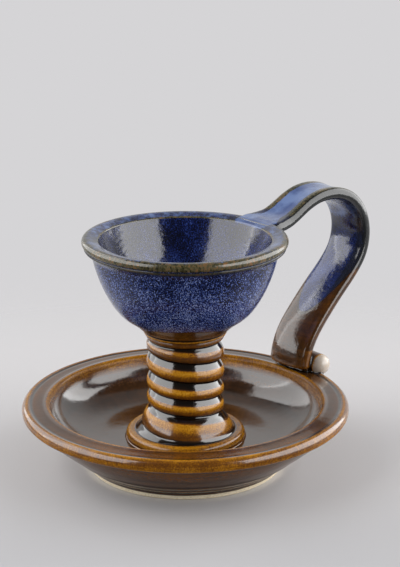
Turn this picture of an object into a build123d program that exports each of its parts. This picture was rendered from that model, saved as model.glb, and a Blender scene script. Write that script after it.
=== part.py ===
from build123d import *
import os
from math import cos, pi, sin

# Chamberstick in wheel-thrown stoneware: a saucer, a spiral-ribbed stem, a drip cup and a strap
# handle, luted together with slip. The wheel axis is Z, the table is Z = 0, the handle reaches to +X.

# Slip between the luted pieces
bed_thickness = 0.8
bead_radius = 1.5
bead_rise = 0.7
root_film = 0.4

# Candle socket, for a household candle 22 mm across, and the hollow of the stem under it
socket_radius = 11.3
socket_depth = 38.0
flue_radius = 8.0
mouth_bevel = 1.2

# Saucer
saucer_radius = 75.0
saucer_height = 31.0
lip_roll_radius = 3.0
lip_groove_depth = 0.6
lip_groove_width = 1.2
rim_width = 8.6
rim_fall = 0.5
shoulder_radius = 1.8
floor_height = 13.0
floor_radius = 36.0
foot_radius = 44.7
foot_ring_width = 7.0
foot_recess = 5.0
foot_taper = 1.2
bare_foot_height = 2.4
foot_edge_radius = 0.6

# Stem
ridge_radius = 17.8
groove_depth = 1.6
ridge_pitch = 8.5
groove_start_angle = 204.6
core_radius = 14.6
flange_radius = 27.6
flange_height = 3.8
flange_crest_radius = 24.2
flange_round = 0.9
channel_depth = 1.1
flare_radius = 20.8
flare_height = 12.6
collar_radius = 18.4
collar_height = 2.4
stem_top_height = 62.6

# Drip cup
cup_rise = 45.0
cup_foot_radius = 19.0
cup_waist_radius = 29.5
cup_waist_rise = 9.6
cup_rim_radius = 46.4
cup_rim_width = 7.7
cup_neck_inset = 4.2
cup_neck_drop = 6.6
cup_roll_height = 4.0
cup_ring_height = 2.4
cup_ring_inset = 0.9
cup_groove_depth = 0.6
cup_rim_fall = 1.8
cup_floor_drop = 2.0

# Strap handle
strap_thickness = 5.0
strap_dish = 0.8
strap_belly = 0.4
root_width = 26.0
arch_width = 20.0
shank_width = 24.0
arch_rise = 9.3
root_lap = 6.6
lap_rise = 1.7
loop_overhang = 39.1
foot_offset = 8.8
tail_width = 34.0
tail_roll_radius = 5.2
tail_inset = 1.5
tail_sink = 3.0
tail_pad_thickness = 2.8
tail_heel_radius = 4.0

# Slopes of the saucer's underside at foot and lip, as shares of its mean slope
under_slope_shares = (0.75, 1.1)
# Lean of the saucer's inner wall under its shoulder, as a share of the dish depth
dish_lean_share = 0.35
# Lean of the stem's flare where it leaves the flange, as a share of its mean lean
flare_lean_share = 0.5
# Places on the cup's belly between waist and neck, and on its foot below the waist
belly_shares = (0.54, 0.38)
hollow_shares = (0.48, 0.58)
# Handles of the bowl's inner curve: radius as a share of the mouth, height as a share of the depth
bowl_shares = ((0.94, 0.48), (0.79, 0.1))
# Middle line of the strap: places along its upper and its lower reach, and heights
upper_reach_shares = ((0.08, 0.0), (0.18, 0.0), (0.39, 0.58), (0.635, 1.0), (0.90, 0.36))
outermost_height_share = 0.845
lower_reach_shares = ((0.837, 0.614), (0.425, 0.393), (0.09, 0.172))
# Where along the strap the root has narrowed, what dish it has there, and where the shank widens
root_run_share = 0.14
root_dish_share = 0.2
shank_run_shares = (0.38, 0.78)
strap_stations = 18

# Values that follow from the sizes above
rim_outer_radius = saucer_radius - lip_roll_radius - lip_groove_width
rim_inner_radius = rim_outer_radius - rim_width
stem_base_height = floor_height + bed_thickness
cup_base_height = stem_top_height + bed_thickness
cup_height = cup_base_height + cup_rise
cup_waist_height = cup_base_height + cup_waist_rise
cup_neck_height = cup_height - cup_neck_drop
cup_neck_radius = cup_rim_radius - cup_neck_inset
cup_mouth_radius = cup_rim_radius - cup_rim_width
cup_floor_height = cup_waist_height - cup_floor_drop
socket_floor_height = cup_floor_height - socket_depth
foot_x = saucer_radius - foot_offset
root_x = cup_rim_radius - root_lap
outer_x = foot_x + loop_overhang
root_z = cup_height + lap_rise - strap_thickness / 2
foot_z = saucer_height + strap_thickness / 2
rim_top = saucer_height + bed_thickness
roll_x = saucer_radius - tail_inset


# Solid turned about the wheel axis from a closed outline of (radius, height)
def turned(draw_outline):
    with BuildPart() as piece:
        with BuildSketch(Plane.XZ):
            with BuildLine():
                draw_outline()
            make_face()
        revolve(axis=Axis.Z)
    return piece.part


# Foot ring, spreading underside, rolled lip, flat rim and rounded dish
def draw_saucer():
    foot_inner = foot_radius - foot_ring_width
    Polyline((0, floor_height), (0, foot_recess), (foot_inner - foot_taper, foot_recess), (foot_inner, 0))
    Polyline((foot_inner, 0), (foot_radius - foot_edge_radius, 0), (foot_radius, foot_edge_radius))
    under_start = (foot_radius + foot_edge_radius, bare_foot_height)
    Line((foot_radius, foot_edge_radius), under_start)
    lip_x = saucer_radius - lip_roll_radius
    under_end = (lip_x, saucer_height - 2 * lip_roll_radius)
    run = under_end[0] - under_start[0]
    rise = under_end[1] - under_start[1]
    slopes = [(run, rise * share) for share in under_slope_shares]
    Spline(under_start, under_end, tangents=slopes)
    lip_top = (lip_x, saucer_height)
    ThreePointArc(under_end, (saucer_radius, saucer_height - lip_roll_radius), lip_top)
    rim_edge = (rim_outer_radius, saucer_height - rim_fall)
    groove_floor = (lip_x - lip_groove_width / 2, saucer_height - rim_fall - lip_groove_depth)
    Polyline(lip_top, groove_floor, rim_edge)
    shoulder_start = (rim_inner_radius + shoulder_radius, saucer_height)
    shoulder_end = (rim_inner_radius, saucer_height - shoulder_radius)
    Line(rim_edge, shoulder_start)
    RadiusArc(shoulder_start, shoulder_end, -shoulder_radius)
    depth = shoulder_end[1] - floor_height
    wall_slope = (-depth * dish_lean_share, -depth)
    Spline(shoulder_end, (floor_radius, floor_height), tangents=[wall_slope, (-depth, 0)])
    Line((floor_radius, floor_height), (0, floor_height))


# Flange, flare, inner core and collar of the stem, without the spiral
def draw_stem_core():
    base = stem_base_height
    crest = (flange_crest_radius, base + flange_height)
    flank = ((flange_radius + crest[0]) / 2 + flange_round, (base + crest[1]) / 2 + flange_round)
    Polyline((0, stem_top_height), (0, base), (flange_radius, base))
    ThreePointArc((flange_radius, base), flank, crest)
    flare_start = (flare_radius, crest[1])
    ThreePointArc(crest, ((crest[0] + flare_radius) / 2, crest[1] - channel_depth), flare_start)
    flare_top = (core_radius, base + flare_height)
    flare_run = flare_radius - core_radius
    flare_rise = flare_top[1] - flare_start[1]
    flare_lean = (-flare_run * flare_lean_share, flare_rise)
    Spline(flare_start, flare_top, tangents=[flare_lean, (-flare_run, flare_rise)])
    collar_base = stem_top_height - collar_height
    Polyline(flare_top, (core_radius, collar_base), (collar_radius, collar_base))
    Polyline((collar_radius, collar_base), (collar_radius, stem_top_height), (0, stem_top_height))


# Left-hand throwing spiral: a round section with one groove, twisted as it rises
def stem_spiral():
    count = 24
    points = []
    for index in range(count):
        angle = 2 * pi * index / count
        radius = ridge_radius - groove_depth * cos(angle / 2) ** 6
        points.append((radius * cos(angle), radius * sin(angle)))
    section = Face(Wire([Edge.make_spline(points, periodic=True)]))
    low = stem_base_height + flange_height
    height = stem_top_height - collar_height / 2 - low
    turn = -360 * height / ridge_pitch
    twist = Solid.extrude_linear_with_rotation(section, (0, 0, 0), (0, 0, height), turn)
    return Pos(0, 0, low) * Rot(0, 0, groove_start_angle) * twist


# Candle socket and the narrower hollow under it, down to the saucer
def draw_stem_hollow():
    top = cup_floor_height
    ledge = socket_floor_height
    Polyline((0, top), (0, 0), (flue_radius, 0), (flue_radius, ledge))
    Polyline((flue_radius, ledge), (socket_radius, ledge), (socket_radius, top), (0, top))


# Drip cup: concave foot, round belly, ringed and rolled lip, bowl and candle hole
def draw_cup():
    Line((socket_radius, cup_base_height), (cup_foot_radius, cup_base_height))
    hollow = (cup_foot_radius + (cup_waist_radius - cup_foot_radius) * hollow_shares[0],
              cup_base_height + (cup_waist_height - cup_base_height) * hollow_shares[1])
    belly = (cup_waist_radius + (cup_neck_radius - cup_waist_radius) * belly_shares[0],
             cup_waist_height + (cup_neck_height - cup_waist_height) * belly_shares[1])
    neck = (cup_neck_radius, cup_neck_height)
    Spline((cup_foot_radius, cup_base_height), hollow, (cup_waist_radius, cup_waist_height), belly, neck)
    ring_low = cup_height - cup_roll_height - cup_ring_height
    ring_top = cup_height - cup_roll_height
    ring_radius = cup_rim_radius - cup_ring_inset
    inner_ring = ring_radius - cup_ring_height / 2
    Line(neck, (inner_ring, ring_low))
    groove = (ring_radius - cup_groove_depth, ring_top)
    ThreePointArc((inner_ring, ring_low), (ring_radius, (ring_low + ring_top) / 2), groove)
    crest = (cup_rim_radius - cup_roll_height / 2, cup_height)
    ThreePointArc(groove, (cup_rim_radius, cup_height - cup_roll_height / 2), crest)
    mouth = (cup_mouth_radius, cup_height - cup_rim_fall)
    Line(crest, mouth)
    bowl_depth = mouth[1] - cup_floor_height
    pulls = [(cup_mouth_radius * out, cup_floor_height + bowl_depth * up) for out, up in bowl_shares]
    floor_edge = (socket_radius + mouth_bevel, cup_floor_height)
    Bezier(mouth, *pulls, floor_edge)
    Line(floor_edge, (socket_radius, cup_floor_height - mouth_bevel))
    Line((socket_radius, cup_floor_height - mouth_bevel), (socket_radius, cup_base_height))


# Smooth step from 0 to 1 between two places
def eased(value, start, end):
    share = min(max((value - start) / (end - start), 0), 1)
    return share * share * (3 - 2 * share)


# Middle line of the strap in the XZ plane, from the cup's rim over the arch down to the saucer
def strap_line():
    points = [(root_x, root_z - cup_rim_fall)]
    for along, rise in upper_reach_shares:
        points.append((root_x + (outer_x - root_x) * along, root_z + arch_rise * rise))
    points.append((outer_x, foot_z + (root_z - foot_z) * outermost_height_share))
    for along, rise in lower_reach_shares:
        points.append((foot_x + (outer_x - foot_x) * along, foot_z + (root_z - foot_z) * rise))
    points.append((foot_x, saucer_height - strap_thickness / 2))
    return Spline([(x, 0, z) for x, z in points])


# Section of the strap across its length: dished outer face, rounded edges, slightly full inner face
def strap_section(line, place):
    fade = eased(place, 0, root_run_share)
    width = root_width + (arch_width - root_width) * fade
    width += (shank_width - arch_width) * eased(place, *shank_run_shares)
    dish = strap_dish * (root_dish_share + (1 - root_dish_share) * fade)
    edge = strap_thickness / 2
    flat = width / 2 - edge
    plane = Plane(origin=line @ place, x_dir=(0, 1, 0), z_dir=line % place)
    with BuildSketch(plane) as section:
        with BuildLine():
            ThreePointArc((-flat, -edge), (0, -edge - strap_belly), (flat, -edge))
            ThreePointArc((flat, -edge), (flat + edge, 0), (flat, edge))
            ThreePointArc((flat, edge), (0, edge - dish), (-flat, edge))
            ThreePointArc((-flat, edge), (-flat - edge, 0), (-flat, -edge))
        make_face()
    return section.sketch


# Pad pressed out over the rim from under the strap, with a hollow heel against it
def tail_pad():
    strap_face = foot_x + strap_thickness / 2
    pad_top = rim_top + tail_pad_thickness
    with BuildPart() as pad:
        with BuildSketch(Plane.XZ):
            with BuildLine():
                heel_top = (strap_face, pad_top + tail_heel_radius)
                heel_end = (strap_face + tail_heel_radius, pad_top)
                RadiusArc(heel_top, heel_end, -tail_heel_radius)
                lip_x = saucer_radius - lip_roll_radius
                low = saucer_height - lip_roll_radius
                Polyline(heel_end, (roll_x, pad_top), (roll_x, rim_top), (lip_x, rim_top), (lip_x, low))
                Polyline((lip_x, low), (foot_x, low), (foot_x, heel_top[1]), heel_top)
            make_face()
        extrude(amount=(shank_width - strap_thickness) / 2, both=True)
    return pad.part


# Rolled-up end of the strap, a roll with round ends pressed down over the lip
def tail_roll():
    end = tail_width / 2
    flat = end - tail_roll_radius
    bulge = tail_roll_radius * sin(pi / 4)
    with BuildPart() as roll:
        with BuildSketch(Plane.XY):
            with BuildLine():
                Line((0, -end), (0, end))
                ThreePointArc((0, end), (bulge, flat + bulge), (tail_roll_radius, flat))
                Line((tail_roll_radius, flat), (tail_roll_radius, -flat))
                ThreePointArc((tail_roll_radius, -flat), (bulge, -flat - bulge), (0, -end))
            make_face()
        revolve(axis=Axis.Y)
    return Pos(roll_x, 0, rim_top + tail_roll_radius - tail_sink) * roll.part


# Bead of slip along the inner edge of the strap's foot
def foot_bead():
    length = shank_width - strap_thickness
    bead = Rot(90, 0, 0) * Cylinder(bead_radius, length)
    return Pos(foot_x - strap_thickness / 2 - strap_belly, 0, saucer_height + bead_rise) * bead


# Seat worn into the strap's root by the cup's lip, a film of slip larger than the lip
def draw_saddle():
    crest = (cup_rim_radius - cup_roll_height / 2, cup_height + root_film)
    nose = (cup_rim_radius + root_film, cup_height - cup_roll_height / 2)
    low = cup_neck_height
    inner = (cup_mouth_radius, cup_height - cup_rim_fall + root_film)
    Polyline((nose[0], low), (cup_mouth_radius, low), inner, crest)
    RadiusArc(crest, nose, cup_roll_height / 2 + root_film)
    Line(nose, (nose[0], low))


# Ring of slip squeezed between two flat faces, with a round outer edge
def slip_ring(inner, outer, low):
    edge = bed_thickness / 2

    def draw_ring():
        top = low + bed_thickness
        Polyline((outer - edge, low), (inner, low), (inner, top), (outer - edge, top))
        ThreePointArc((outer - edge, top), (outer, low + edge), (outer - edge, low))

    return turned(draw_ring)


saucer = turned(draw_saucer)
stem = turned(draw_stem_core) + stem_spiral() - turned(draw_stem_hollow)
cup = turned(draw_cup)
stem_slip = slip_ring(flue_radius, flange_radius, floor_height)
cup_slip = slip_ring(socket_radius, cup_foot_radius, stem_top_height)

line = strap_line()
strap = loft([strap_section(line, index / (strap_stations - 1)) for index in range(strap_stations)])
strap_blank = strap + tail_pad() + tail_roll()
raised_saucer = Pos(0, 0, bed_thickness) * saucer
saddle = turned(draw_saddle)
handle = strap_blank - raised_saucer - saddle
root_slip = (strap_blank & saddle) - cup
foot_slip = (strap_blank & raised_saucer) + foot_bead() - saucer - handle

pieces = {
    "saucer": saucer,
    "stem": stem,
    "drip_cup": cup,
    "strap_handle": handle,
    "stem_slip": stem_slip,
    "cup_slip": cup_slip,
    "handle_root_slip": root_slip,
    "handle_foot_slip": foot_slip,
}
os.makedirs("parts", exist_ok=True)
for name, piece in pieces.items():
    export_step(piece, f"parts/{name}.step")
    print(name, len(piece.solids()), piece.is_valid, round(piece.volume, 1))
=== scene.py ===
import math
import bpy
import numpy as np
from mathutils.kdtree import KDTree
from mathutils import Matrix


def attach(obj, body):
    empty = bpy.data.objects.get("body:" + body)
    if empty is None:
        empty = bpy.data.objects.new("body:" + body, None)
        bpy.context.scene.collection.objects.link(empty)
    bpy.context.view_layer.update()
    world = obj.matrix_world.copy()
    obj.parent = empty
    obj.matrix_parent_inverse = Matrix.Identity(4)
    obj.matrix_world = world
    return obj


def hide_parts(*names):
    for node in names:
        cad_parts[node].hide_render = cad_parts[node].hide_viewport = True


# Chamberstick in glazed stoneware: saucer, spiral stem, drip cup and pulled strap handle
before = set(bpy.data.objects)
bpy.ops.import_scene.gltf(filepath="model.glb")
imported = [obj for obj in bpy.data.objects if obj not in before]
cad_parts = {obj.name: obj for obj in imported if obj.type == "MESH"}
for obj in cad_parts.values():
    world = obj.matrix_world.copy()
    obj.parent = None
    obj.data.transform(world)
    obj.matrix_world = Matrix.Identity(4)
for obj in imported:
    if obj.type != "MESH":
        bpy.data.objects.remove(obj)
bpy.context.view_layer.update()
mm = 0.001
frontAzimuth = 230.5  # towards the camera, in degrees about the wheel axis
print("frame loaded:", ", ".join(sorted(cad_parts)))


# Hand tools shared by the pieces

def startFresh():
    if bpy.context.object and bpy.context.object.mode != "OBJECT":
        bpy.ops.object.mode_set(mode="OBJECT")
    bpy.ops.object.select_all(action="DESELECT")


def takeUp(piece):
    startFresh()
    piece.select_set(True)
    bpy.context.view_layer.objects.active = piece


def useModifier(piece, kind, **settings):
    takeUp(piece)
    bpy.ops.object.modifier_add(type=kind)
    modifier = piece.modifiers[-1]
    for key, value in settings.items():
        setattr(modifier, key, value)
    bpy.ops.object.modifier_apply(modifier=modifier.name)


def smoothOut(piece, levels):
    useModifier(piece, "SUBSURF", levels=levels, render_levels=levels)
    bpy.ops.object.shade_smooth()


def readPoints(piece, what="co"):
    flat = np.empty(len(piece.data.vertices) * 3)
    piece.data.vertices.foreach_get(what, flat)
    return flat.reshape(-1, 3)


def writePoints(piece, points):
    piece.data.vertices.foreach_set("co", points.ravel())
    piece.data.update()


def ease(values, start, end):  # smooth change from 0 at start to 1 at end
    share = np.clip((values - start) / (end - start), 0, 1)
    return share * share * (3 - 2 * share)


def rollRings(centre, radius, start, end, steps):  # rings along an arc, angles in degrees from outwards
    angles = [math.radians(start + (end - start) * step / steps) for step in range(steps + 1)]
    return [(centre[0] + radius * math.cos(angle), centre[1] + radius * math.sin(angle)) for angle in angles]


def turnPiece(name, rings, sides, hollow):  # a ring of clay pulled from radius to radius, as on the wheel
    startFresh()
    radius, height = rings[0]
    bpy.ops.mesh.primitive_circle_add(vertices=sides, radius=radius * mm, location=(0, 0, height * mm))
    piece = bpy.context.object
    piece.name = piece.data.name = name
    bpy.ops.object.transform_apply(location=True)
    bpy.ops.object.mode_set(mode="EDIT")
    bpy.ops.mesh.select_mode(type="EDGE")
    bpy.ops.mesh.select_all(action="SELECT")
    for nextRadius, nextHeight in rings[1:]:
        rise = (0, 0, (nextHeight - height) * mm)
        bpy.ops.mesh.extrude_region_move(TRANSFORM_OT_translate={"value": rise})
        grow = nextRadius / radius
        bpy.ops.transform.resize(value=(grow, grow, 1), center_override=(0, 0, nextHeight * mm))
        radius, height = nextRadius, nextHeight
    bpy.ops.mesh.select_all(action="DESELECT")
    bpy.ops.mesh.select_non_manifold()
    if hollow:
        bpy.ops.mesh.bridge_edge_loops()
    else:
        bpy.ops.mesh.fill_holes(sides=0)
    bpy.ops.mesh.select_all(action="SELECT")
    bpy.ops.mesh.normals_make_consistent(inside=False)
    bpy.ops.object.mode_set(mode="OBJECT")
    return piece


# Glaze noted on each point of a piece: glazeBreak is 1 where it runs thin over a ridge and 0 where it pools,
# glazeGloss is 1 where it shines, the pool value is 1 in the milky pool and also holds painted floor light
# under the strap's arch, and the edge value is 1 where near black shade is painted on the darkest edges

settledTurn = (-0.25, 0.1)  # glaze settles thick and shiny as a face turns up through these


def writeShade(piece, name, values):
    layer = piece.data.attributes.new(name, "FLOAT", "POINT")
    layer.data.foreach_set("value", np.clip(values, 0, 1).astype(np.float32))


def readShades(piece, name):
    values = np.empty(len(piece.data.vertices), np.float32)
    piece.data.attributes[name].data.foreach_get("value", values)
    return values


def rewriteShade(piece, name, values):
    piece.data.attributes[name].data.foreach_set("value", values.astype(np.float32))


def noteGlaze(piece, sharpest, spread, lean=0.0, most=0.76):  # ridges read as thin glaze, hollows as pools
    mesh = piece.data
    points, normals = readPoints(piece), readPoints(piece, "normal")
    pairs = np.empty(len(mesh.edges) * 2, dtype=np.int64)
    mesh.edges.foreach_get("vertices", pairs)
    near, far = pairs.reshape(-1, 2).T
    step = points[far] - points[near]
    squared = np.maximum((step ** 2).sum(1), 1e-14)  # no edge counts as zero long
    count = np.bincount(near, minlength=len(points)) + np.bincount(far, minlength=len(points))
    bendNear = -2 * (step * normals[near]).sum(1) / squared
    bendFar = 2 * (step * normals[far]).sum(1) / squared
    bend = np.bincount(near, bendNear, len(points)) + np.bincount(far, bendFar, len(points))
    bend = np.clip(bend / count, -2 * sharpest, 2 * sharpest)
    for _ in range(spread):
        around = np.bincount(near, bend[far], len(points)) + np.bincount(far, bend[near], len(points))
        bend = 0.5 * bend + 0.5 * around / count
    level = 0.5 + bend / (2 * sharpest) - lean * normals[:, 2]
    writeShade(piece, "glazeBreak", np.minimum(level, most))
    writeShade(piece, "glazeGloss", ease(normals[:, 2], *settledTurn))


def dullOver(piece, share):  # take the gloss away on part of a piece
    rewriteShade(piece, "glazeGloss", readShades(piece, "glazeGloss") * (1 - np.clip(share, 0, 1)))


def settle(piece, node, material):
    piece.data.materials.clear()
    piece.data.materials.append(material)
    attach(piece, "root")
    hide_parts(node)
    print(node, "made:", len(piece.data.polygons), "faces")


# Node helpers for the glazes

def tone(red, green, blue):  # a colour as seen on a screen, 0 to 255, turned to light values
    seen = [value / 255 for value in (red, green, blue)]
    return tuple(((value + 0.055) / 1.055) ** 2.4 if value > 0.04 else value / 12.92 for value in seen)


def fullTone(colour):
    return (*tone(*colour), 1)


def addNode(tree, kind, inputs, **settings):
    node = tree.nodes.new(kind)
    for key, value in settings.items():
        setattr(node, key, value)
    for key, value in inputs.items():
        if isinstance(value, bpy.types.NodeSocket):
            tree.links.new(value, node.inputs[key])
        else:
            node.inputs[key].default_value = value
    return node


def calc(tree, how, first, second=0.0, third=0.0):
    return addNode(tree, "ShaderNodeMath", {0: first, 1: second, 2: third}, operation=how).outputs[0]


def between(tree, value, low, high, start=0.0, end=1.0):  # eased and clamped change of range
    inputs = {"Value": value, "From Min": low, "From Max": high, "To Min": start, "To Max": end}
    return addNode(tree, "ShaderNodeMapRange", inputs, interpolation_type="SMOOTHSTEP").outputs[0]


def towards(tree, place, azimuth):  # how far a place lies towards an azimuth
    angle = math.radians(azimuth)
    way = (math.cos(angle), math.sin(angle), 0)
    return addNode(tree, "ShaderNodeVectorMath", {0: place, 1: way}, operation="DOT_PRODUCT").outputs["Value"]


def levelWay(tree, place):  # direction of a place from the wheel axis, kept level
    flat = addNode(tree, "ShaderNodeVectorMath", {0: place, 1: (1, 1, 0)}, operation="MULTIPLY").outputs[0]
    return addNode(tree, "ShaderNodeVectorMath", {0: flat}, operation="NORMALIZE").outputs[0]


def mottle(tree, place, scale, detail, rough=0.5, stretch=(1, 1, 1), shift=0.0):
    inputs = {"Vector": place, "Scale": stretch, "Location": (shift, shift, shift)}
    moved = addNode(tree, "ShaderNodeMapping", inputs)
    inputs = {"Vector": moved.outputs[0], "Scale": scale, "Detail": detail, "Roughness": rough}
    return addNode(tree, "ShaderNodeTexNoise", inputs).outputs[0]


def stir(tree, level, noise, amount):  # push a level up and down by a noise about its middle
    return calc(tree, "MULTIPLY_ADD", calc(tree, "SUBTRACT", noise, 0.5), amount, level)


def pickStops(look, places, *names):
    return [(spot, look[name]) for spot, name in zip(look[places], names)]


def ramp(tree, value, stops):
    node = addNode(tree, "ShaderNodeValToRGB", {0: value})
    band = node.color_ramp
    while len(band.elements) < len(stops):
        band.elements.new(0.5)
    for element, (place, colour) in zip(band.elements, stops):
        element.position = place
        element.color = fullTone(colour)
    return node.outputs[0]


def layOver(tree, share, under, over):
    node = tree.nodes.new("ShaderNodeMix")
    node.data_type = "RGBA"
    for socket, value in zip((node.inputs[0], node.inputs[6], node.inputs[7]), (share, under, over)):
        if isinstance(value, bpy.types.NodeSocket):
            tree.links.new(value, socket)
        else:
            socket.default_value = value
    return node.outputs[2]


def readShade(tree, name):
    return addNode(tree, "ShaderNodeAttribute", {}, attribute_name=name).outputs["Fac"]


# Glassy skin shared by the glazes
skinLook = dict(index=1.62, shine=0.5, coatStart=0.2, coatRough=0.08, coatIndex=1.55)


def startGlaze(name):
    material = bpy.data.materials.new(name)
    material.use_nodes = True
    tree = material.node_tree
    tree.nodes.clear()
    place = addNode(tree, "ShaderNodeTexCoord", {}).outputs["Object"]
    return material, tree, place


def endGlaze(tree, place, look, colour, rough):
    skin = skinLook
    gloss = readShade(tree, "glazeGloss")
    peel = mottle(tree, place, **look["peel"])
    relief = {"Height": peel, "Strength": 1.0, "Distance": look["peelDepth"] * mm}
    bump = addNode(tree, "ShaderNodeBump", relief)
    inputs = {"Base Color": colour, "Roughness": rough, "Normal": bump.outputs[0], "IOR": skin["index"],
              "Specular IOR Level": between(tree, gloss, 0, 1, look["dull"], skin["shine"]),
              "Coat Weight": between(tree, gloss, skin["coatStart"], 1, 0, look["coat"]),
              "Coat Roughness": skin["coatRough"], "Coat IOR": skin["coatIndex"]}
    shader = addNode(tree, "ShaderNodeBsdfPrincipled", inputs)
    addNode(tree, "ShaderNodeOutputMaterial", {"Surface": shader.outputs[0]})


# Brown glaze: near black where it pools, chocolate on the flats, amber where it breaks over edges
brownLook = dict(
    pooled=(17, 11, 7), dark=(36, 22, 11), body=(76, 47, 22), warm=(112, 66, 14), amber=(182, 122, 16),
    # the thin colour is greyed so that it also serves as painted sheen on the strap's roll ends
    gold=(204, 150, 46), thin=(206, 194, 180), places=(0.20, 0.36, 0.50, 0.64, 0.80, 0.93, 1.0),
    broad=dict(scale=70, detail=4, rough=0.6), broadShare=0.20,
    streak=dict(scale=420, detail=3, rough=0.6, stretch=(1, 1, 0.35), shift=0.3), streakShare=0.16,
    speck=dict(scale=1500, detail=2, rough=0.6, shift=0.7), speckGrowth=(0.5, 0.72, 0.16, 0.44),
    turning=dict(scale=520, detail=2, rough=0.6, stretch=(0.03, 0.03, 1), shift=0.9), turningShare=0.24,
    peel=dict(scale=260, detail=3), peelDepth=0.10, rough=(0.35, 0.9, 0.13, 0.26), coat=0.85, dull=0.1,
)


def brownColour(tree, place):
    look = brownLook
    level = readShade(tree, "glazeBreak")
    level = stir(tree, level, mottle(tree, place, **look["broad"]), look["broadShare"])
    level = stir(tree, level, mottle(tree, place, **look["streak"]), look["streakShare"])
    speckShare = between(tree, level, *look["speckGrowth"])  # thin glaze shows more specks
    level = stir(tree, level, mottle(tree, place, **look["speck"]), speckShare)
    level = stir(tree, level, mottle(tree, place, **look["turning"]), look["turningShare"])
    stops = pickStops(look, "places", "pooled", "dark", "body", "warm", "amber", "gold", "thin")
    return ramp(tree, level, stops), level


def brownRough(tree, level):
    return between(tree, level, *brownLook["rough"])


def makeBrown():
    material, tree, place = startGlaze("brownGlaze")
    colour, level = brownColour(tree, place)
    endGlaze(tree, place, brownLook, colour, brownRough(tree, level))
    return material


# Brown glaze of the saucer, which ends in a dark line above the bare clay of its foot
footLook = dict(
    wander=dict(scale=120, detail=2), wanderRise=0.5, bareFade=(2.85, 2.65),
    line=(44, 22, 8), lineFade=(4.3, 3.1), lineShare=0.85,
    clay=(242, 230, 204), clayDark=(214, 196, 164), clayPlaces=(0.3, 0.55), clayRough=0.85,
    grain=dict(scale=1400, detail=3, rough=0.6),
)


def makeSaucerGlaze():
    look = footLook
    material, tree, place = startGlaze("brownGlazeBareFoot")
    colour, level = brownColour(tree, place)
    height = addNode(tree, "ShaderNodeSeparateXYZ", {0: place}).outputs["Z"]
    wander = mottle(tree, place, **look["wander"])
    height = calc(tree, "MULTIPLY_ADD", wander, look["wanderRise"] * mm, height)
    line = between(tree, height, *(spot * mm for spot in look["lineFade"]))
    bare = between(tree, height, *(spot * mm for spot in look["bareFade"]))
    colour = layOver(tree, calc(tree, "MULTIPLY", line, look["lineShare"]), colour, fullTone(look["line"]))
    clay = ramp(tree, mottle(tree, place, **look["grain"]), pickStops(look, "clayPlaces", "clayDark", "clay"))
    colour = layOver(tree, bare, colour, clay)
    rough = calc(tree, "MAXIMUM", brownRough(tree, level), calc(tree, "MULTIPLY", bare, look["clayRough"]))
    endGlaze(tree, place, brownLook, colour, rough)
    return material


# Blue glaze dipped over the brown: navy with fine light flecks, olive where it breaks, milky where it pools
blueLook = dict(
    ink=(5, 6, 18), navy=(14, 20, 54), cobalt=(32, 51, 120), sky=(78, 100, 164), milk=(152, 164, 198),
    places=(0.34, 0.45, 0.54, 0.645, 0.80), middle=0.512,
    fleck=dict(scale=2000, detail=2, rough=0.6, stretch=(1, 1, 0.7)), calmShare=0.4,
    cloud=dict(scale=80, detail=4, rough=0.6, stretch=(1, 1, 0.55), shift=0.2), cloudShare=0.34,
    shadeHigh=(84, 101, -0.07), shadeLow=(82, 71, 0.03),
    poolDeep=(66, 87, 140), poolShade=(110, 132, 180), poolPlaces=(0.38, 0.56), poolFade=(0.3, 0.7),
    poolEdge=dict(scale=300, detail=3, rough=0.6, shift=0.5), poolEdgeShare=0.8,
    moss=(27, 26, 17), olive=(64, 60, 34), ash=(92, 86, 62), rust=(128, 90, 52),
    wornPlaces=(0.30, 0.45, 0.60, 0.78), wornFade=(0.62, 0.74), wornShare=0.2,
    grit=dict(scale=900, detail=3, rough=0.7, stretch=(1, 1, 0.5), shift=0.4), gritShare=1.5,
    # rim is the near black of the painted shade on the darkest edges
    rim=(36, 37, 38), seam=(20, 14, 12), seamFade=(-2.2, 0), seamShare=0.7,
    dipWander=dict(scale=90, detail=2, shift=0.1), dipRise=2, dipFade=(-0.3, 0.5),
    peel=dict(scale=420, detail=3), peelDepth=0.12, coat=0.4, dull=0.3,
)


def blueColour(tree, place, flecked):
    look = blueLook
    fleck = mottle(tree, place, **look["fleck"])
    cloud = mottle(tree, place, **look["cloud"])
    calmed = between(tree, readShade(tree, "glazeGloss"), 0, 1, flecked, look["calmShare"] * flecked)
    level = stir(tree, stir(tree, look["middle"], fleck, calmed), cloud, look["cloudShare"])
    height = addNode(tree, "ShaderNodeSeparateXYZ", {0: place}).outputs["Z"]
    for start, end, change in (look["shadeHigh"], look["shadeLow"]):
        level = calc(tree, "ADD", level, between(tree, height, start * mm, end * mm, 0, change))
    field = ramp(tree, level, pickStops(look, "places", "ink", "navy", "cobalt", "sky", "milk"))
    milky = ramp(tree, cloud, pickStops(look, "poolPlaces", "poolDeep", "poolShade"))
    # the pool share also holds the painted floor light under the strap's arch
    poolEdge = mottle(tree, place, **look["poolEdge"])
    pool = stir(tree, readShade(tree, "glazePoolAndPaintedLight"), poolEdge, look["poolEdgeShare"])
    field = layOver(tree, between(tree, pool, *look["poolFade"]), field, milky)
    grit = stir(tree, cloud, mottle(tree, place, **look["grit"]), look["gritShare"])
    worn = ramp(tree, grit, pickStops(look, "wornPlaces", "moss", "olive", "ash", "rust"))
    edge = stir(tree, readShade(tree, "glazeBreak"), fleck, look["wornShare"])
    edge = stir(tree, edge, cloud, look["wornShare"])
    unpooled = between(tree, pool, *reversed(look["poolFade"]))
    wear = calc(tree, "MULTIPLY", between(tree, edge, *look["wornFade"]), unpooled)
    field = layOver(tree, wear, field, worn)
    # painted shade: near black over the edges marked as shaded
    return layOver(tree, readShade(tree, "glazeRim"), field, fullTone(look["rim"]))


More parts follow.
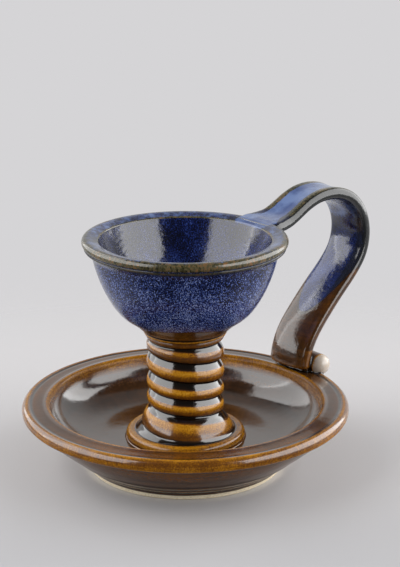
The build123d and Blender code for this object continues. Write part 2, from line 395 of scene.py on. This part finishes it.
def makeBlue(name, flecked, dipLine):
    look = blueLook
    material, tree, place = startGlaze(name)
    brown, level = brownColour(tree, place)
    height = addNode(tree, "ShaderNodeSeparateXYZ", {0: place}).outputs["Z"]
    above = calc(tree, "SUBTRACT", height, dipLine(tree, place))
    above = stir(tree, above, mottle(tree, place, **look["dipWander"]), look["dipRise"] * mm)
    seam = between(tree, above, *(spot * mm for spot in look["seamFade"]))
    dipped = between(tree, above, *(spot * mm for spot in look["dipFade"]))
    colour = layOver(tree, calc(tree, "MULTIPLY", seam, look["seamShare"]), brown, fullTone(look["seam"]))
    colour = layOver(tree, dipped, colour, blueColour(tree, place, flecked))
    endGlaze(tree, place, look, colour, brownRough(tree, level))
    return material


# How deep the cup and the strap were dipped in the blue
dipLook = dict(cupLow=66.0, cupLift=6.3, cupFlecks=1.7, strapLow=57.5, strapSag=0.15, strapFlecks=1.1)


def cupDip(tree, place):  # the dip line stands highest at the front and back of the cup
    along = towards(tree, levelWay(tree, place), frontAzimuth)
    square = calc(tree, "MULTIPLY", along, along)
    return calc(tree, "MULTIPLY_ADD", square, dipLook["cupLift"] * mm, dipLook["cupLow"] * mm)


def strapDip(tree, place):  # the dip line sags along the middle of the strap
    across = addNode(tree, "ShaderNodeSeparateXYZ", {0: place}).outputs["Y"]
    square = calc(tree, "MULTIPLY", across, across)
    return calc(tree, "MULTIPLY_ADD", square, dipLook["strapSag"] / mm, dipLook["strapLow"] * mm)


# Saucer: foot ring, spreading underside, rolled lip, flat rim and rounded dish
saucerLook = dict(
    sides=96, levels=2,
    recess=[(5, 5), (20, 5), (34.6, 5), (36.2, 4.7), (36.9, 2.6), (37.5, 0.4), (38.1, 0)],
    footRing=[(39.5, 0), (43.2, 0), (44.2, 0.1), (44.7, 0.7), (45.0, 2.0), (45.1, 2.2), (45.5, 2.5)],
    underside=[(46.6, 3.6), (47.4, 4.7), (49.6, 5.9), (50.2, 6.9), (53.6, 9.0), (54.2, 10.0), (58.0, 12.9),
               (62.5, 16.6), (66.5, 20.1), (69.4, 22.9), (70.6, 24.2)],
    lipCentre=(71.9, 27.9), lipRadius=3.2, lipArc=(-75, 75, 6),
    rim=[(71.5, 30.7), (71.0, 30.4), (70.3, 30.45), (69.4, 30.55), (66.8, 30.6), (64.9, 30.9)],
    shoulderCentre=(63.9, 29.2), shoulderRadius=1.85, shoulderArc=(80, 180, 4),
    dish=[(61.75, 27.2), (60.6, 24.6), (58.2, 21.2), (54.0, 17.6), (48.4, 14.8), (42.0, 13.4),
          (36.0, 13.05), (28.0, 13.0), (15.0, 13.0), (5.0, 13.0)],
    glazeRun=dict(sharpest=480, spread=2, lean=0.04, most=0.73), thinFade=(0.58, 0.74), thinDull=0.55,
    turnLines=(4.4, 7.2, 10.0, 14.6), turnWidth=0.6, turnDark=0.28,
    flatRim=(64.5, 66, 69.5, 71), flatTurn=(0.5, 0.9), flatLift=0.07,
    thinWall=(24.5, 27.5), wallTurn=(0.97, 0.8), wallLevel=0.69, rimDull=0.5,
    steepWall=(49.0, 58.0), steepDull=0.2,
)


def makeSaucer():
    look = saucerLook
    rings = look["recess"] + look["footRing"] + look["underside"]
    rings += rollRings(look["lipCentre"], look["lipRadius"], *look["lipArc"])
    rings += look["rim"]
    rings += rollRings(look["shoulderCentre"], look["shoulderRadius"], *look["shoulderArc"])
    rings += look["dish"]
    saucer = turnPiece("saucer", rings, look["sides"], False)
    smoothOut(saucer, look["levels"])
    noteGlaze(saucer, **look["glazeRun"])
    glazeSaucer(saucer)
    return saucer


def glazeSaucer(saucer):
    look = saucerLook
    points, normals = readPoints(saucer) / mm, readPoints(saucer, "normal")
    radius, height = np.hypot(points[:, 0], points[:, 1]), points[:, 2]
    level = readShades(saucer, "glazeBreak")
    dullOver(saucer, look["thinDull"] * ease(level, *look["thinFade"]))  # thin glaze shines less
    for line in look["turnLines"]:  # glaze caught in the turning lines under the saucer
        level -= look["turnDark"] * np.exp(-((height - line) / look["turnWidth"]) ** 2) * (normals[:, 2] < 0)
    inner, innerFull, outerFull, outer = look["flatRim"]
    flat = ease(radius, inner, innerFull) * ease(radius, outer, outerFull)
    flat *= ease(normals[:, 2], *look["flatTurn"])
    level += look["flatLift"] * flat
    wall = ease(height, *look["thinWall"]) * (radius < inner) * ease(normals[:, 2], *look["wallTurn"])
    level += wall * (look["wallLevel"] - level)
    rewriteShade(saucer, "glazeBreak", level)
    dullOver(saucer, look["rimDull"] * np.maximum(flat, wall))
    steep = ease(radius, *look["steepWall"]) * (radius < inner) * (normals[:, 2] > 0)
    dullOver(saucer, look["steepDull"] * steep)  # glaze runs off the steep wall of the dish


# Stem: flange pressed on the saucer, left-hand throwing ribs, socket for the candle
stemLook = dict(
    sides=120, levels=1,
    flange=[(27.4, 13.2), (27.5, 14.6), (27.2, 16.0), (26.4, 16.9), (25.3, 17.2), (24.2, 16.9),
            (23.2, 16.7), (22.6, 17.2)],
    flareBase=(22.0, 18.2), flareTop=(17.8, 27.5), top=62.7, ringStep=0.45,
    inside=[(17.6, 63.0), (11.3, 63.0), (11.3, 33.4), (11.1, 33.0), (8.2, 33.0), (8.0, 32.6), (8.0, 13.3)],
    ribNoses=(11.9, 24.9, 33.0, 40.6, 49.9, 58.6, 67.0), ribDepth=2.2, skinRadius=16.5,
    ribShares=((0, 0.08, 0.15, 0.22, 0.3, 0.38, 0.45, 0.5, 0.54, 0.58, 0.62, 0.66, 0.7, 0.78, 0.86, 0.93, 1),
               (0.26, 0.14, 0.07, 0.02, 0, 0.02, 0.07, 0.16, 0.36, 0.75, 0.98, 1, 0.94, 0.75, 0.56, 0.41,
                0.26)),
    ribLevels=((0, 0.1, 0.2, 0.3, 0.4, 0.48, 0.54, 0.60, 0.72, 0.84, 0.92, 0.97, 1),
               (0.79, 0.80, 0.75, 0.66, 0.61, 0.58, 0.48, 0.2, 0.16, 0.24, 0.36, 0.62, 0.79)),
    fadeIn=(17.2, 19.2), fadeOut=(60.8, 59.0), collarGroove=(60.3, 0.75, 1.3),
    glazeRun=dict(sharpest=420, spread=3, lean=0.2, most=0.7), thinFade=(0.6, 0.76), thinDull=0.45,
    flangeCrest=(22.6, 23.8), flangeLevel=0.74, shadowRise=(51, 58), shadowDark=0.09,
)


def makeStem():
    look = stemLook
    (lowRadius, low), (highRadius, high) = look["flareBase"], look["flareTop"]
    rings = list(look["flange"])
    count = round((look["top"] - low) / look["ringStep"])
    for step in range(count + 1):
        height = low + (look["top"] - low) * step / count
        rise = min((height - low) / (high - low), 1)
        rings.append((highRadius + (lowRadius - highRadius) * (1 - rise), height))
    rings += look["inside"]
    stem = turnPiece("stem", rings, look["sides"], True)
    throwRibs(stem)
    smoothOut(stem, look["levels"])
    noteGlaze(stem, **look["glazeRun"])
    paintRibs(stem)
    dullOver(stem, look["thinDull"] * ease(readShades(stem, "glazeBreak"), *look["thinFade"]))
    return stem


def ribPhase(points):  # 0 at the nose of a rib, rising downwards to 1 at the next nose
    height, angle = points[:, 2] / mm, np.degrees(np.arctan2(points[:, 1], points[:, 0]))
    turns = np.interp(height, stemLook["ribNoses"], range(len(stemLook["ribNoses"])))
    return -(turns + (angle - frontAzimuth) / 360) % 1


def throwRibs(stem):  # each rib has a nose, a full face under it and a sloped shoulder over it
    look = stemLook
    points = readPoints(stem)
    radius = np.hypot(points[:, 0], points[:, 1])
    height = points[:, 2] / mm
    depth = np.interp(ribPhase(points), *look["ribShares"])
    depth *= look["ribDepth"] * ease(height, *look["fadeIn"]) * ease(height, *look["fadeOut"])
    middle, width, deep = look["collarGroove"]
    depth += deep * np.exp(-((height - middle) / width) ** 2)
    outside = (radius > look["skinRadius"] * mm) & (height > look["fadeIn"][0]) & (height < look["top"])
    points[:, :2] *= (1 - depth * mm * outside / radius)[:, None]
    writePoints(stem, points)


def paintRibs(stem):  # amber noses and faces over dark grooves
    look = stemLook
    points = readPoints(stem)
    radius, height = np.hypot(points[:, 0], points[:, 1]) / mm, points[:, 2] / mm
    level = readShades(stem, "glazeBreak")
    share = ease(height, *look["fadeIn"]) * ease(height, *look["fadeOut"])
    level += share * (np.interp(ribPhase(points), *look["ribLevels"]) - level)
    level += ease(radius, *look["flangeCrest"]) * (look["flangeLevel"] - level)
    level -= look["shadowDark"] * ease(height, *look["shadowRise"])  # darker under the cup
    rewriteShade(stem, "glazeBreak", level)


# Drip cup: hollow foot, round belly, ringed and rolled lip, bowl with the candle hole
cupLook = dict(
    sides=96, levels=2,
    foot=[(11.3, 63.5), (18.2, 63.4), (19.0, 63.7), (19.2, 64.4), (19.0, 64.9), (19.7, 65.4), (20.9, 66.4),
          (22.8, 68.2), (25.6, 70.3), (28.6, 72.3)],
    belly=[(31.2, 75.1), (33.6, 78.6), (35.8, 82.6), (37.9, 87.0), (39.6, 91.6), (40.9, 96.0), (41.8, 99.8),
           (42.6, 101.5)],
    ringCentre=(44.5, 103.7), ringRadius=0.9, ringArc=(-80, 45, 4),
    lipCentre=(44.3, 106.3), lipRadius=2.1, lipArc=(-50, 98, 6),
    rim=[(42.6, 108.2), (40.8, 107.65), (39.5, 107.2), (39.05, 107.02), (38.8, 106.75), (38.72, 106.3)],
    bowl=[(38.1, 104.3), (36.7, 100.0), (34.9, 95.4), (32.6, 90.4), (29.9, 85.6), (26.5, 80.8),
          (22.4, 76.6), (18.0, 73.6), (14.4, 71.8), (12.3, 71.0), (11.35, 69.8)],
    glazeRun=dict(sharpest=300, spread=3),
    ringBand=(101.6, 102.6, 104.2, 105.0), ringInside=41.5, ringShadeShare=0.7,
    poolReach=(14.0, 7.0), poolStart=(34.0, 40.0), poolDepth=(105.4, 107.0), poolTurn=(0.2, 0.6),
    poolInside=(0.3, 0.7), rimShare=0.42, rimTurn=(0.6, 0.95), rimLow=104,
)


def makeCup():
    look = cupLook
    rings = look["foot"] + look["belly"]
    rings += rollRings(look["ringCentre"], look["ringRadius"], *look["ringArc"])
    rings += rollRings(look["lipCentre"], look["lipRadius"], *look["lipArc"])
    rings += look["rim"] + look["bowl"]
    cup = turnPiece("dripCup", rings, look["sides"], True)
    smoothOut(cup, look["levels"])
    noteGlaze(cup, **look["glazeRun"])
    notePool(cup)
    points = readPoints(cup) / mm
    # painted shade on the small ring under the lip, darkened as in the lip's shadow; it also loses its gloss
    low, lowFull, highFull, high = look["ringBand"]
    ring = ease(points[:, 2], low, lowFull) * ease(points[:, 2], high, highFull)
    ring *= np.hypot(points[:, 0], points[:, 1]) > look["ringInside"]
    writeShade(cup, "glazeRim", look["ringShadeShare"] * ring)
    dullOver(cup, ring)
    return cup


def notePool(piece):  # milky pool that runs off the strap's root over the cup's rim
    look = cupLook
    points, normals = readPoints(piece) / mm, readPoints(piece, "normal")
    facing = np.maximum(ease(normals[:, 2], *look["poolTurn"]), ease(-normals[:, 0], *look["poolInside"]))
    pool = ease(np.abs(points[:, 1]), *look["poolReach"]) * ease(points[:, 0], *look["poolStart"])
    pool *= facing * ease(points[:, 2], *look["poolDepth"])
    onRim = look["rimShare"] * ease(normals[:, 2], *look["rimTurn"]) * (points[:, 2] > look["rimLow"])
    writeShade(piece, "glazePoolAndPaintedLight", np.maximum(pool, onRim))


# Strap handle: dished strap pulled from the cup's lip over the arch down to the saucer, its tail rolled up
strapLook = dict(
    section=[(0, 1.55), (5.0, 1.85), (7.8, 2.4), (9.1, 2.1), (9.8, 1.0), (10.05, -0.8), (9.95, -2.6),
             (9.3, -4.1), (7.9, -5.0), (5.5, -5.5), (2.8, -5.6), (0, -5.4), (-2.8, -5.0), (-5.5, -4.4),
             (-7.7, -3.7), (-9.2, -2.95), (-9.95, -2.0), (-10.1, -0.8), (-9.8, 0.5), (-9.3, 1.6),
             (-8.5, 2.3), (-7.4, 2.35), (-5.0, 1.85)],  # across and up, the camera's side last
    sectionWidth=20.0, steps=60, levels=1,
    stations=[(39.6, 104.6, 21), (42.0, 106.2, 24), (45.5, 107.1, 25.5), (50.0, 106.9, 24),
              (55.5, 107.6, 21.3), (61.0, 110.0, 20.2), (68.0, 113.8, 20), (76.5, 116.5, 20.3),
              (87.2, 116.3, 20.8), (96.8, 112.2, 21.6), (103.2, 104.2, 22.3), (105.7, 94.0, 22.8),
              (103.6, 83.6, 23.2), (97.0, 74.8, 23.4), (87.6, 65.8, 23.6), (78.6, 56.4, 23.7),
              (71.7, 48.0, 24), (67.8, 40.0, 24), (66.4, 31.6, 23.8)],  # out, up and width
    rootFlat=(54.0, 44.0), rootEdge=(3.5, 8.0), rootDrop=0.75, rootLow=95, rootTurn=-0.2,
    rollCentre=(73.5, 34.0), rollRadius=5.2, rollHalf=17.1, rollSides=48, rollRings=24, rollMiddle=0.05,
    padLow=31.0, padHigh=35.0, padHalf=10.4, padEdge=1.2, padSegments=3,
    voxel=0.42, smoothShare=0.5, smoothing=12, loopCentre=(80, 92), innerTurn=(0.2, 0.6),
    glazeRun=dict(sharpest=700, spread=8, lean=0, most=0.62),
    ridge=(4.6, 6.0), ridgeTurn=(0.1, 0.5), ridgeRise=(100, 106), ridgeStart=(51.0, 60.0), ridgeLevel=0.8,
    sideTurn=(0.35, 0.75), sideDark=0.12, sideDull=0.3, dullRise=(55, 65), innerGloss=0.9,
    # pale roll ends: thin glaze with a painted sheen
    tailTop=42, thinAndSheenEnd=(11.6, 13.2), thinAndSheenLevel=1.06,
    # these place the painted shade on the strap's sides and inner near corner
    nearCorner=(6.0, 8.2), cornerTurn=(0.0, 0.3), cornerShare=0.85, darkRise=(58, 70),
    poolReach=(7.0, 4.4), poolDip=(72.0, 80.0), poolTongue=(108.0, 82.0), poolTurn=(0.0, 0.5), rootSpread=5.0,
    # under the arch a faint pale patch stands in as painted floor light
    underShare=0.5, underTurn=(0.1, 0.5), underRise=(88, 98), underInward=(0.3, 0.7),
)


def threadThrough(stations, steps):  # smooth line through the stations
    rows = np.array(stations, float)
    rows = np.vstack([2 * rows[0] - rows[1], rows, 2 * rows[-1] - rows[-2]])
    made = []
    for along in np.linspace(0, len(stations) - 1, steps):
        index = min(int(along), len(stations) - 2)
        share = along - index
        a, b, c, d = rows[index:index + 4]
        made.append(0.5 * (2 * b + (c - a) * share + (2 * a - 5 * b + 4 * c - d) * share ** 2
                           + (3 * b - a - 3 * c + d) * share ** 3))
    return np.array(made)


def pullStrap():
    look = strapLook
    line = threadThrough(look["stations"], look["steps"])
    run = np.gradient(line[:, :2], axis=0)
    lean = np.unwrap(np.arctan2(run[:, 1], run[:, 0]))
    outline = look["section"]
    startFresh()
    bpy.ops.mesh.primitive_circle_add(vertices=len(outline), radius=look["sectionWidth"] / 2 * mm)
    strap = bpy.context.object
    strap.name = "strap"
    widen = line[0, 2] / look["sectionWidth"]
    for vertex, (across, up) in zip(strap.data.vertices, outline):
        place = (line[0, 0] - up * math.sin(lean[0]), across * widen, line[0, 1] + up * math.cos(lean[0]))
        vertex.co = [value * mm for value in place]
    bpy.ops.object.mode_set(mode="EDIT")
    bpy.ops.mesh.select_all(action="SELECT")
    for last in range(len(line) - 1):
        step = line[last + 1] - line[last]
        centre = (line[last + 1, 0] * mm, 0, line[last + 1, 1] * mm)
        bpy.ops.mesh.extrude_region_move(TRANSFORM_OT_translate={"value": (step[0] * mm, 0, step[1] * mm)})
        turn = lean[last + 1] - lean[last]
        bpy.ops.transform.rotate(value=turn, orient_axis="Y", center_override=centre)
        bpy.ops.transform.resize(value=(1, line[last + 1, 2] / line[last, 2], 1), center_override=centre)
    bpy.ops.mesh.select_all(action="SELECT")
    bpy.ops.mesh.fill_holes(sides=0)
    bpy.ops.mesh.normals_make_consistent(inside=False)
    bpy.ops.object.mode_set(mode="OBJECT")
    pressRoot(strap)
    smoothOut(strap, look["levels"])
    return strap


def pressRoot(strap):  # the raised edges of the strap are pressed flat where it lies on the rim
    look = strapLook
    points, normals = readPoints(strap), readPoints(strap, "normal")
    share = ease(points[:, 0] / mm, *look["rootFlat"]) * ease(np.abs(points[:, 1]) / mm, *look["rootEdge"])
    upper = (points[:, 2] > look["rootLow"] * mm) & (normals[:, 2] > look["rootTurn"])
    points[:, 2] -= look["rootDrop"] * mm * share * upper
    writePoints(strap, points)


def rollTail():  # a ball drawn apart at its middle into a roll with round ends
    look = strapLook
    x, z = look["rollCentre"]
    startFresh()
    bpy.ops.mesh.primitive_uv_sphere_add(segments=look["rollSides"], ring_count=look["rollRings"],
                                         radius=look["rollRadius"] * mm, location=(x * mm, 0, z * mm),
                                         rotation=(math.pi / 2, 0, 0))
    roll = bpy.context.object
    bpy.ops.object.transform_apply(location=True, rotation=True)
    bpy.ops.object.mode_set(mode="EDIT")
    bpy.ops.mesh.select_mode(type="VERT")
    reach = look["rollHalf"] - look["rollRadius"]
    for side in (-1, 1):
        bpy.ops.mesh.select_all(action="DESELECT")
        bpy.ops.object.mode_set(mode="OBJECT")
        for vertex in roll.data.vertices:
            vertex.select = vertex.co.y * side > look["rollMiddle"] * mm
        bpy.ops.object.mode_set(mode="EDIT")
        bpy.ops.transform.translate(value=(0, side * reach * mm, 0))
    bpy.ops.object.mode_set(mode="OBJECT")
    return roll


def pressPad():  # clay pressed out between the strap's foot and the roll
    look = strapLook
    low, high = look["padLow"], look["padHigh"]
    start, end = look["stations"][-1][0], look["rollCentre"][0]
    startFresh()
    bpy.ops.mesh.primitive_cube_add(size=1, location=((start + end) / 2 * mm, 0, (low + high) / 2 * mm))
    pad = bpy.context.object
    pad.scale = ((end - start) * mm, 2 * look["padHalf"] * mm, (high - low) * mm)
    bpy.ops.object.transform_apply(location=True, scale=True)
    useModifier(pad, "BEVEL", width=look["padEdge"] * mm, segments=look["padSegments"])
    return pad


def makeHandle():
    look = strapLook
    strap, roll, pad = pullStrap(), rollTail(), pressPad()
    takeUp(strap)
    roll.select_set(True)
    pad.select_set(True)
    bpy.ops.object.join()
    strap.name = strap.data.name = "strapHandle"
    useModifier(strap, "REMESH", mode="VOXEL", voxel_size=look["voxel"] * mm)
    useModifier(strap, "SMOOTH", factor=look["smoothShare"], iterations=look["smoothing"])
    takeUp(strap)
    bpy.ops.object.shade_smooth()
    noteGlaze(strap, **look["glazeRun"])
    wearShadeAndSheenStrap(strap)
    poolAndUnderLightStrap(strap)
    return strap


def facingIn(points, normals):  # 1 where the strap faces the middle of the loop, -1 where it faces away
    out = points[:, [0, 2]] - strapLook["loopCentre"]
    return -(out * normals[:, [0, 2]]).sum(1) / np.hypot(*out.T)


def wearShadeAndSheenStrap(strap):  # olive ridges over the arch, painted shade on the near black edges, pale ends on the roll with a painted sheen
    look = strapLook
    points, normals = readPoints(strap) / mm, readPoints(strap, "normal")
    across, height = np.abs(points[:, 1]), points[:, 2]
    inward = facingIn(points, normals)
    ridge = ease(across, *look["ridge"]) * ease(normals[:, 2], *look["ridgeTurn"])
    ridge *= ease(height, *look["ridgeRise"]) * ease(points[:, 0], *look["ridgeStart"])
    side = ease(np.abs(normals[:, 1]), *look["sideTurn"])
    # the roll's ends: thin glaze, made pale and greyish as a painted sheen
    thinAndSheenRollEnd = ease(across, *look["thinAndSheenEnd"]) * (height < look["tailTop"])
    level = readShades(strap, "glazeBreak")
    level += ridge * (look["ridgeLevel"] - level)
    level -= look["sideDark"] * side * (height > look["tailTop"])
    level += thinAndSheenRollEnd * (look["thinAndSheenLevel"] - level)
    rewriteShade(strap, "glazeBreak", level)
    # painted shade: near black on the strap's sides and its inner near corner, above the dip
    corner = ease(-points[:, 1], *look["nearCorner"]) * ease(inward, *look["cornerTurn"])
    paintedShadeShare = np.maximum(side, look["cornerShare"] * corner) * ease(height, *look["darkRise"])
    writeShade(strap, "glazeRim", paintedShadeShare)
    shiny = np.maximum(look["innerGloss"] * ease(inward, *look["innerTurn"]), thinAndSheenRollEnd)
    rewriteShade(strap, "glazeGloss", np.maximum(readShades(strap, "glazeGloss"), shiny))
    dullOver(strap, look["sideDull"] * side * ease(height, *look["dullRise"]))


def poolAndUnderLightStrap(strap):  # milky pool down the outside of the strap, and painted floor light under its arch, laid in as a faint pool
    look = strapLook
    points, normals = readPoints(strap) / mm, readPoints(strap, "normal")
    height, inward = points[:, 2], facingIn(points, normals)
    overArch = points[:, 0] > look["loopCentre"][0]
    onTop = np.where(overArch, ease(-inward, *look["innerTurn"]), ease(normals[:, 2], *look["poolTurn"]))
    onTop *= ease(height, *look["poolDip"])
    high, low = look["poolTongue"]
    drop = np.clip((high - height) / (high - low), 0, 1)
    tongue = look["poolReach"][0] * (1 - np.sqrt(1 - drop ** 2)) * overArch  # it ends in a round tongue
    root = look["rootSpread"] * ease(points[:, 0], *look["rootFlat"])
    pool = onTop * ease(np.abs(points[:, 1]) - root + tongue, *look["poolReach"])
    # painted light: the arch's down-facing underside is paled as if lit from the floor
    under = ease(-normals[:, 2], *look["underTurn"]) * ease(inward, *look["underInward"])
    under *= look["underShare"] * ease(height, *look["underRise"])
    writeShade(strap, "glazePoolAndPaintedLight", np.maximum(pool, under))


# Slip: rings squeezed out of the two turned joints, and fillets wiped round both ends of the strap
slipLook = dict(
    sides=96, levels=1,
    stemRing=[(8.0, 13.0), (27.6, 12.9), (28.1, 13.1), (27.7, 13.5), (27.2, 13.8), (8.0, 13.8)],
    cupRing=[(11.3, 62.6), (17.8, 62.6), (18.5, 62.8), (18.5, 63.3), (17.8, 63.5), (11.3, 63.4)],
    ringRun=dict(sharpest=420, spread=2, lean=0, most=0.6),
    rootChunk=((40.6, -19, 99), (57, 19, 118)), rootFades=((2, 104.8, 106.6), (0, 40.8, 43.5)),
    footChunk=((56, -23, 25), (82, 23, 46)), footFades=((2, 22.0, 25.0),),  # a fade is an axis, start and end
    voxel=0.5, near=(6.0, 1.5), nearMargin=4, cropMargin=3, smoothShare=0.6, smoothing=30, inset=0.16,
    filletRun=dict(sharpest=500, spread=8),
)


def makeSlipRing(name, rings):
    ring = turnPiece(name, rings, slipLook["sides"], True)
    smoothOut(ring, slipLook["levels"])
    noteGlaze(ring, **slipLook["ringRun"])
    return ring


def cropTo(piece, low, high):  # cut away all that lies outside a box, and close the cuts
    takeUp(piece)
    bpy.ops.object.mode_set(mode="EDIT")
    for axis in range(3):
        for corner, sign in ((low, -1), (high, 1)):
            side = [0, 0, 0]
            side[axis] = sign
            bpy.ops.mesh.select_all(action="SELECT")
            bpy.ops.mesh.bisect(plane_co=[value * mm for value in corner], plane_no=side, use_fill=True,
                                clear_outer=True)
    bpy.ops.object.mode_set(mode="OBJECT")


def nearness(piece, other):  # 1 on the other piece's surface, 0 well away from it
    tree = KDTree(len(other))
    for index, point in enumerate(other):
        tree.insert(point, index)
    tree.balance()
    away = np.array([tree.find(point)[2] for point in readPoints(piece)])
    return ease(away / mm, *slipLook["near"])


def wipeFillet(name, first, second, chunk, fades):  # the two pieces as one skin, smoothed along their joint
    look = slipLook
    low, high = (np.array(corner) for corner in chunk)
    nearLow, nearHigh = (low - look["nearMargin"]) * mm, (high + look["nearMargin"]) * mm
    inside = [points[((points > nearLow) & (points < nearHigh)).all(1)]
              for points in (readPoints(first), readPoints(second))]
    takeUp(first)
    second.select_set(True)
    bpy.ops.object.duplicate()
    bpy.ops.object.join()
    fillet = bpy.context.object
    fillet.name = fillet.data.name = name
    for layerName in [layer.name for layer in fillet.data.attributes if layer.name.startswith("glaze")]:
        fillet.data.attributes.remove(fillet.data.attributes[layerName])
    useModifier(fillet, "REMESH", mode="VOXEL", voxel_size=look["voxel"] * mm)
    cropTo(fillet, low - look["cropMargin"], high + look["cropMargin"])
    weights = nearness(fillet, inside[0]) * nearness(fillet, inside[1])
    for axis, start, end in fades:
        weights *= ease(readPoints(fillet)[:, axis] / mm, start, end)
    group = fillet.vertex_groups.new(name="joint")
    for index, weight in enumerate(weights):
        group.add([index], float(weight), "REPLACE")
    useModifier(fillet, "SMOOTH", factor=look["smoothShare"], iterations=look["smoothing"],
                vertex_group="joint")
    writePoints(fillet, readPoints(fillet) - readPoints(fillet, "normal") * look["inset"] * mm)
    cropTo(fillet, low, high)
    takeUp(fillet)
    bpy.ops.object.shade_smooth()
    noteGlaze(fillet, **look["filletRun"])
    return fillet


brown = makeBrown()
saucerGlaze = makeSaucerGlaze()
cupGlaze = makeBlue("blueGlazeCup", dipLook["cupFlecks"], cupDip)
handleGlaze = makeBlue("blueGlazeHandle", dipLook["strapFlecks"], strapDip)
print("glazes mixed")

saucer, stem, cup, handle = makeSaucer(), makeStem(), makeCup(), makeHandle()
rootSlip = wipeFillet("rootSlip", cup, handle, slipLook["rootChunk"], slipLook["rootFades"])
notePool(rootSlip)
footSlip = wipeFillet("footSlip", saucer, handle, slipLook["footChunk"], slipLook["footFades"])
settle(saucer, "saucer", saucerGlaze)
settle(stem, "stem", brown)
settle(cup, "drip_cup", cupGlaze)
settle(handle, "strap_handle", handleGlaze)
settle(makeSlipRing("stemSlip", slipLook["stemRing"]), "stem_slip", brown)
settle(makeSlipRing("cupSlip", slipLook["cupRing"]), "cup_slip", brown)
settle(rootSlip, "handle_root_slip", handleGlaze)
settle(footSlip, "handle_foot_slip", brown)


# Studio: pale floor that fades into the backdrop, three tall soft boxes, dark room on the camera's side
studioLook = dict(
    backdrop=(213, 212, 214), floor=(212, 210, 211), floorFrontShade=(192, 191, 193),
    mirrored=(70, 68, 67),  # painted shade: the floor's front, darker still as the glaze mirrors it
    frontReach=(0.01, 0.11), floorSides=64, floorRadius=1.2, floorFade=(0.10, 0.34),
    cameraPlace=(-0.4559, -0.5537, 0.3040), pitch=0.295, handleTurn=40, lens=105.73,
    boxes=[("leftBox", 157.5, 0.52, (0.86, 0.88), 6.8), ("backBox", 105, 0.52, (0.45, 0.88), 2.5),
           ("rightBox", 317, 0.38, (1.36, 0.68), 9.8)],  # name, azimuth, height, size and power
    boxAway=0.6,
    backAzimuth=40.5, roomLight=0.62, roomDark=0.03, roomEdge=(0.62, 0.76), roomTop=(0.74, 0.40, 0.4, 1),
    tableTop=(0.02, -0.02), tableEdge=(-0.75, -0.35), tableLight=0.42,
)


def makeFloor():
    look = studioLook
    startFresh()
    bpy.ops.mesh.primitive_circle_add(vertices=look["floorSides"], radius=look["floorRadius"],
                                      fill_type="NGON")
    floor = bpy.context.object
    floor.name = "floor"
    material, tree, place = startGlaze("paleFloor")
    away = addNode(tree, "ShaderNodeVectorMath", {0: place}, operation="LENGTH").outputs["Value"]
    fade = between(tree, away, *look["floorFade"])
    # painted shade: the floor darkens towards the camera, and far more where the glaze mirrors it
    ahead = between(tree, towards(tree, place, frontAzimuth), *look["frontReach"])
    mirrored = addNode(tree, "ShaderNodeLightPath", {}).outputs["Is Glossy Ray"]
    nearTone = layOver(tree, mirrored, fullTone(look["floorFrontShade"]), fullTone(look["mirrored"]))
    colour = layOver(tree, ahead, fullTone(look["floor"]), nearTone)
    paint = addNode(tree, "ShaderNodeBsdfDiffuse", {"Color": colour})
    clear = addNode(tree, "ShaderNodeBsdfTransparent", {})
    mixed = addNode(tree, "ShaderNodeMixShader", {0: fade, 1: paint.outputs[0], 2: clear.outputs[0]})
    addNode(tree, "ShaderNodeOutputMaterial", {"Surface": mixed.outputs[0]})
    floor.data.materials.append(material)


def lightBoxes():
    look = studioLook
    for name, azimuth, height, size, power in look["boxes"]:
        angle = math.radians(azimuth)
        startFresh()
        spot = (look["boxAway"] * math.cos(angle), look["boxAway"] * math.sin(angle), height)
        bpy.ops.object.light_add(type="AREA", location=spot, rotation=(math.pi / 2, 0, angle + math.pi / 2))
        box = bpy.context.object
        box.name = name
        box.data.shape = "RECTANGLE"
        box.data.size, box.data.size_y = size
        box.data.energy = power
        box.visible_camera = False


def lightRoom():
    look = studioLook
    world = bpy.data.worlds.new("studio")
    bpy.context.scene.world = world
    world.use_nodes = True
    tree = world.node_tree
    tree.nodes.clear()
    direction = addNode(tree, "ShaderNodeTexCoord", {}).outputs["Generated"]
    toBack = towards(tree, levelWay(tree, direction), look["backAzimuth"])
    rise = addNode(tree, "ShaderNodeSeparateXYZ", {0: direction}).outputs["Z"]
    share = between(tree, toBack, *look["roomEdge"])
    share = calc(tree, "MULTIPLY", share, between(tree, rise, *look["roomTop"]))
    glow = between(tree, share, 0, 1, look["roomDark"], look["roomLight"])
    table = between(tree, rise, *look["tableTop"])  # the floor goes on below the horizon, past its faded edge
    table = calc(tree, "MULTIPLY", table, between(tree, toBack, *look["tableEdge"]))
    glow = calc(tree, "MAXIMUM", glow, calc(tree, "MULTIPLY", table, look["tableLight"]))
    seen = addNode(tree, "ShaderNodeLightPath", {}).outputs["Is Camera Ray"]
    room = addNode(tree, "ShaderNodeBackground", {"Color": (1, 1, 1, 1), "Strength": glow})
    backdrop = addNode(tree, "ShaderNodeBackground", {"Color": fullTone(look["backdrop"]), "Strength": 1.0})
    mixed = addNode(tree, "ShaderNodeMixShader", {0: seen, 1: room.outputs[0], 2: backdrop.outputs[0]})
    addNode(tree, "ShaderNodeOutputWorld", {"Surface": mixed.outputs[0]})


def setCamera():
    look = studioLook
    startFresh()
    turn = (math.pi / 2 - look["pitch"], 0, -math.radians(look["handleTurn"]))
    bpy.ops.object.camera_add(location=look["cameraPlace"], rotation=turn)
    camera = bpy.context.object
    camera.data.lens = look["lens"]
    bpy.context.scene.camera = camera
    bpy.context.scene.view_settings.view_transform = "Standard"


makeFloor()
lightBoxes()
lightRoom()
setCamera()
print("studio set")

startFresh()
